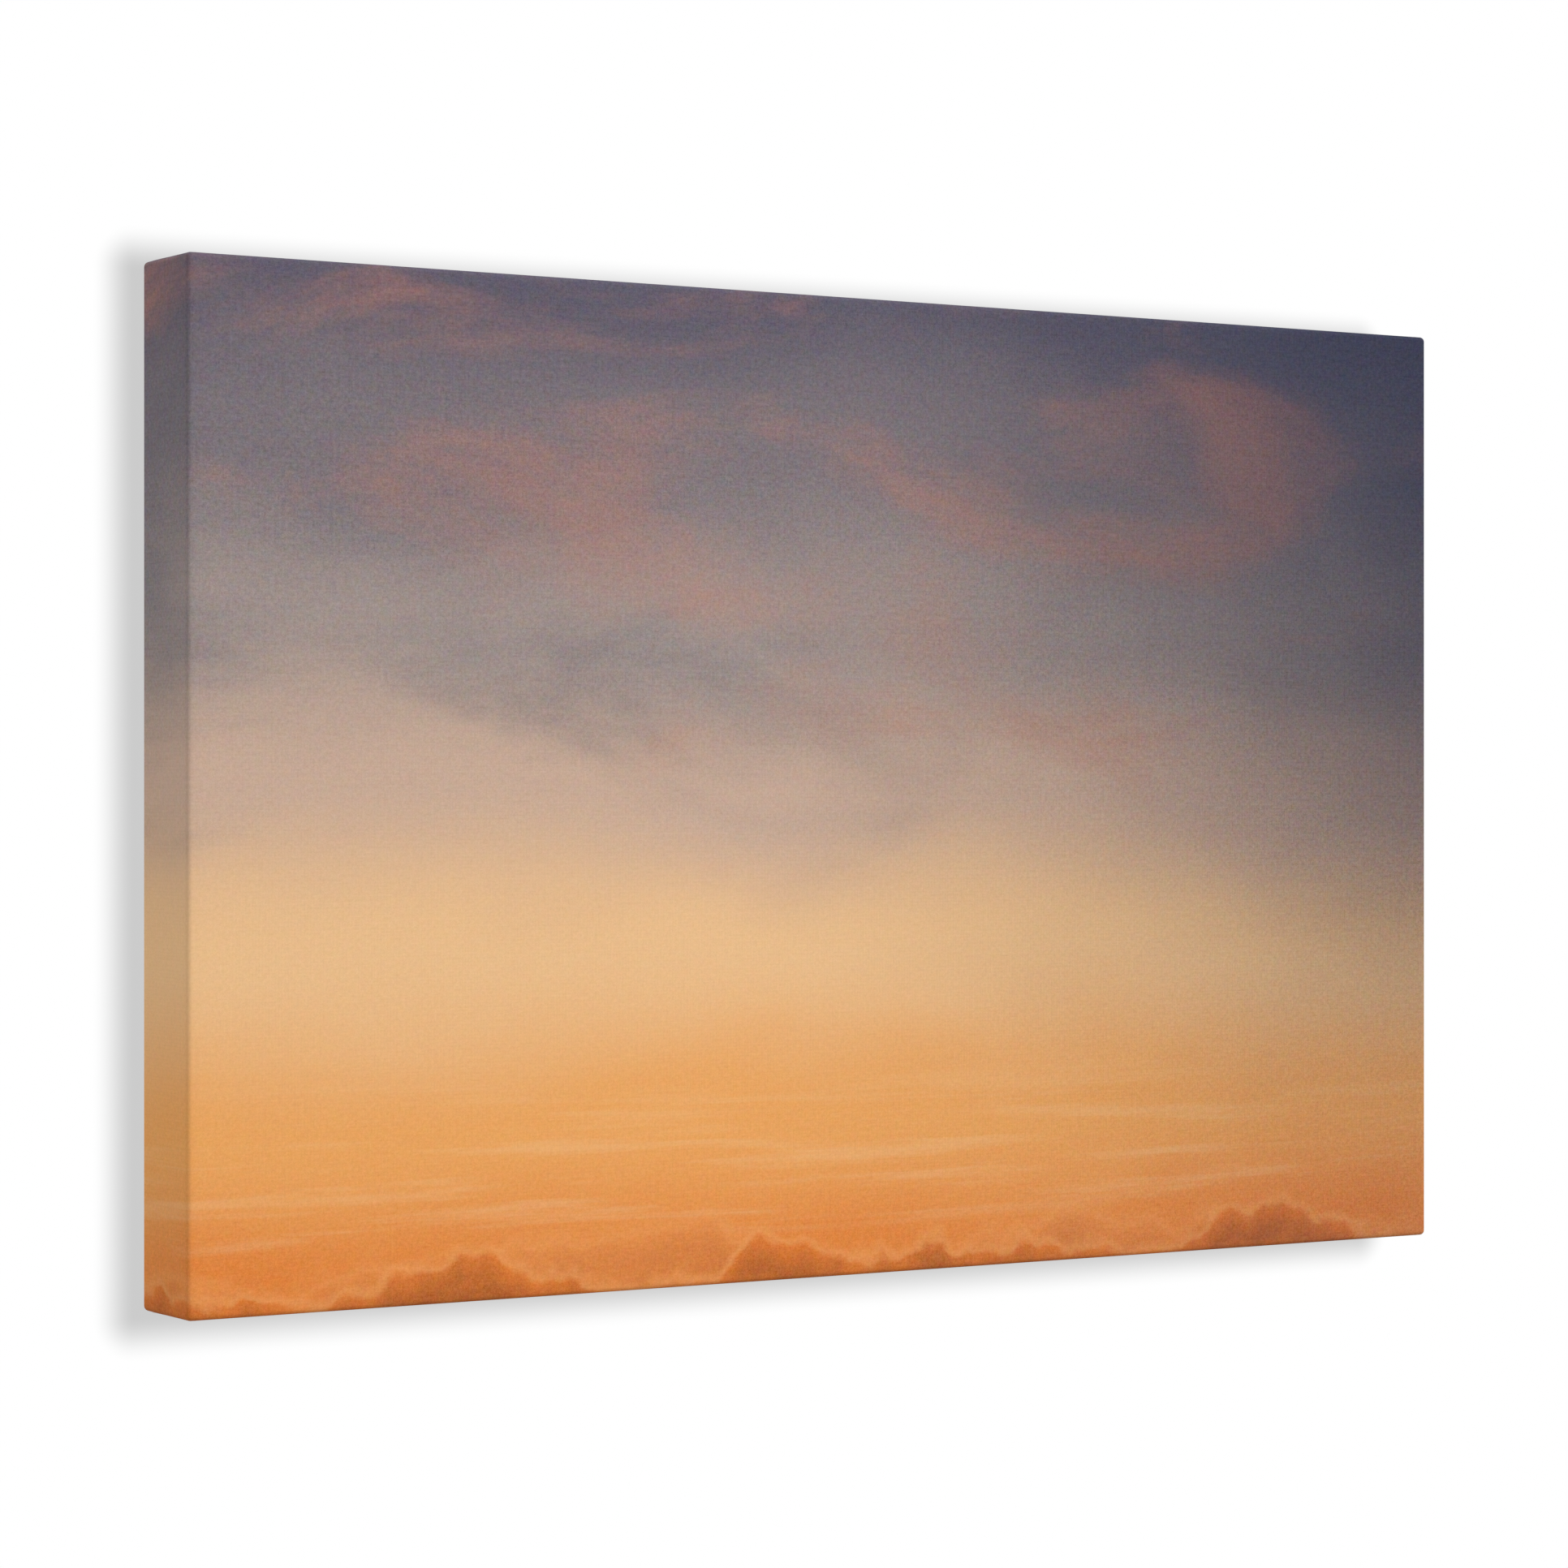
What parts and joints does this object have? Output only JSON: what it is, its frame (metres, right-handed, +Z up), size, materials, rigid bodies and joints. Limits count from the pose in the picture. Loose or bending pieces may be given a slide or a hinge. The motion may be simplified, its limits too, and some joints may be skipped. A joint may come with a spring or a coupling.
{
  "type": "stretched canvas",
  "caption": "Landscape gallery-wrapped canvas print on a bevelled pine stretcher frame with slotted mitred corners, loose corner keys, stapled cloth flaps, a sawtooth hanger and soft wall pads.",
  "frame": {"origin": "centre of the bottom edge's outer face, half way through the 31.75 mm wrapped depth", "axes": "+Z up, +X to the right seen from the picture side, picture faces -Y, wall side is +Y"},
  "size_m": [0.4572, 0.0368, 0.3048],
  "materials": {
    "printed_cotton": "plain-weave cotton, matt print of a dusk sky on the face and edges, bare inside",
    "pine": "planed, unfinished softwood",
    "key_wood": "sawn, unfinished hardwood",
    "staple_wire": "galvanised flat wire",
    "hanger_zinc": "zinc-plated strip",
    "nail_zinc": "zinc-plated wire",
    "pad_rubber": "soft translucent-grey polyurethane"
  },
  "bodies": {
    "frame": {"canvas": "printed_cotton", "stretcher_bar_top": "pine", "stretcher_bar_bottom": "pine", "stretcher_bar_left": "pine", "stretcher_bar_right": "pine", "staples_top": "staple_wire", "staples_bottom": "staple_wire", "staples_left": "staple_wire", "staples_right": "staple_wire", "wall_pad_top_left": "pad_rubber", "wall_pad_top_right": "pad_rubber", "wall_pad_bottom_left": "pad_rubber", "wall_pad_bottom_right": "pad_rubber", "sawtooth_hanger": "hanger_zinc", "hanger_nails": "nail_zinc"},
    "key_top_left_horizontal_body": {"key_top_left_horizontal": "key_wood"},
    "key_top_left_vertical_body": {"key_top_left_vertical": "key_wood"},
    "key_top_right_horizontal_body": {"key_top_right_horizontal": "key_wood"},
    "key_top_right_vertical_body": {"key_top_right_vertical": "key_wood"},
    "key_bottom_left_horizontal_body": {"key_bottom_left_horizontal": "key_wood"},
    "key_bottom_left_vertical_body": {"key_bottom_left_vertical": "key_wood"},
    "key_bottom_right_horizontal_body": {"key_bottom_right_horizontal": "key_wood"},
    "key_bottom_right_vertical_body": {"key_bottom_right_vertical": "key_wood"}
  },
  "joints": [
    {"name": "key_top_left_horizontal_slide", "type": "slide", "parent": "frame", "child": "key_top_left_horizontal_body", "axis": [1, 0, 0], "range_m": [0, 0.024]},
    {"name": "key_top_left_vertical_slide", "type": "slide", "parent": "frame", "child": "key_top_left_vertical_body", "axis": [0, 0, -1], "range_m": [0, 0.024]},
    {"name": "key_top_right_horizontal_slide", "type": "slide", "parent": "frame", "child": "key_top_right_horizontal_body", "axis": [-1, 0, 0], "range_m": [0, 0.024]},
    {"name": "key_top_right_vertical_slide", "type": "slide", "parent": "frame", "child": "key_top_right_vertical_body", "axis": [0, 0, -1], "range_m": [0, 0.024]},
    {"name": "key_bottom_left_horizontal_slide", "type": "slide", "parent": "frame", "child": "key_bottom_left_horizontal_body", "axis": [1, 0, 0], "range_m": [0, 0.024]},
    {"name": "key_bottom_left_vertical_slide", "type": "slide", "parent": "frame", "child": "key_bottom_left_vertical_body", "axis": [0, 0, 1], "range_m": [0, 0.024]},
    {"name": "key_bottom_right_horizontal_slide", "type": "slide", "parent": "frame", "child": "key_bottom_right_horizontal_body", "axis": [-1, 0, 0], "range_m": [0, 0.024]},
    {"name": "key_bottom_right_vertical_slide", "type": "slide", "parent": "frame", "child": "key_bottom_right_vertical_body", "axis": [0, 0, 1], "range_m": [0, 0.024]}
  ]
}
